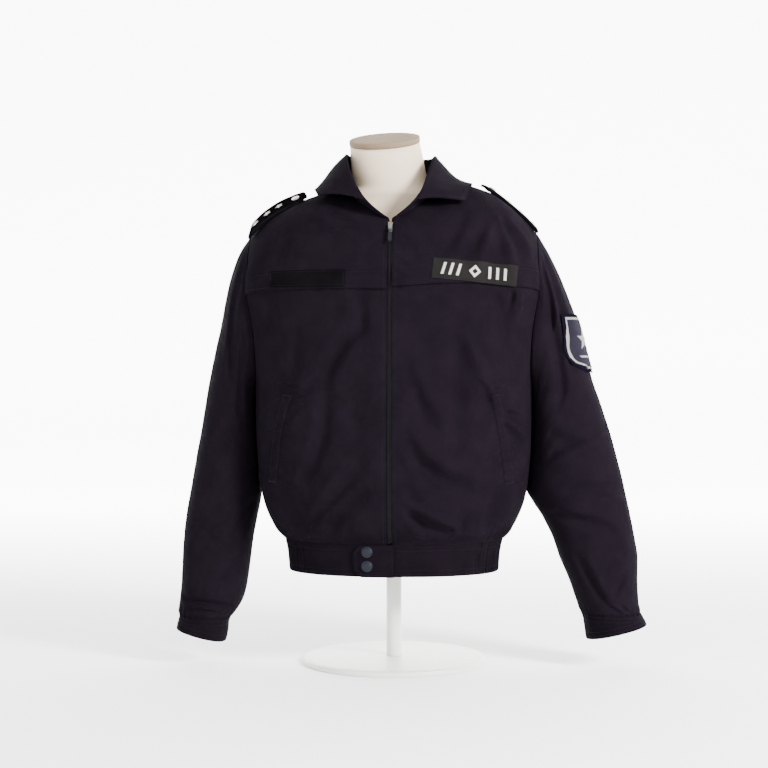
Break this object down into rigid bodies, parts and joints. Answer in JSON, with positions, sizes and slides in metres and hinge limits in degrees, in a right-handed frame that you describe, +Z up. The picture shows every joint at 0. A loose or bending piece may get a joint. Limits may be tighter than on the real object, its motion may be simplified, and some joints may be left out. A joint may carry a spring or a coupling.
{
  "type": "zipped police uniform jacket on a limbless dress form",
  "caption": "Waist-length uniform jacket with zip, shirt collar, shoulder boards and elastic hem, worn by a limbless dress form on a pole stand.",
  "frame": {"origin": "centre of the stand's round base, on the floor", "axes": "+Z up, -Y out of the jacket's front, +X towards the wearer's left"},
  "size_m": [0.773, 0.3, 0.889],
  "materials": {
    "cloth": "dark navy polyester and cotton twill",
    "dark_cloth": "black woven tape and boards",
    "patch_cloth": "dark grey badge cloth",
    "badge_cloth": "blue embroidered badge",
    "silver": "satin silver metal",
    "snap_metal": "dark lacquered snap caps",
    "zip_metal": "satin zip metal",
    "cream": "cream cloth cover of the dress form",
    "cap_cream": "beige cloth neck cap",
    "stand_metal": "white powder coat"
  },
  "bodies": {
    "garment": {"front_right": "cloth", "front_left": "cloth", "yoke_right": "cloth", "yoke_left": "cloth", "back": "cloth", "sleeve_right": "cloth", "sleeve_left": "cloth", "cuff_right": "cloth", "cuff_left": "cloth", "collar_stand": "cloth", "collar_leaf": "cloth", "hem_front_right": "cloth", "hem_front_left": "cloth", "hem_elastic_right": "cloth", "hem_elastic_left": "cloth", "hem_back": "cloth", "hem_tab": "cloth", "snap_upper": "snap_metal", "snap_lower": "snap_metal", "zip_tape": "dark_cloth", "zip_teeth": "dark_cloth", "zip_slider": "zip_metal", "pocket_welt_right": "cloth", "pocket_welt_left": "cloth", "name_tape": "dark_cloth", "chest_patch": "patch_cloth", "sleeve_badge": "badge_cloth", "epaulette_right": "dark_cloth", "epaulette_left": "dark_cloth", "star_right_1": "silver", "star_right_2": "silver", "star_right_3": "silver", "star_left_1": "silver", "star_left_2": "silver", "star_left_3": "silver", "button_right": "silver", "button_left": "silver", "dress_form": "cream", "neck_cap": "cap_cream", "stand_pole": "stand_metal", "stand_base": "stand_metal"},
    "pull": {"zip_pull": "zip_metal"}
  },
  "joints": [
    {"name": "pull_hinge", "type": "hinge", "parent": "garment", "child": "pull", "pos_m": [0, -0.11383, 0.70711], "axis": [-1, 0, 0], "range_deg": [0, 150]}
  ]
}
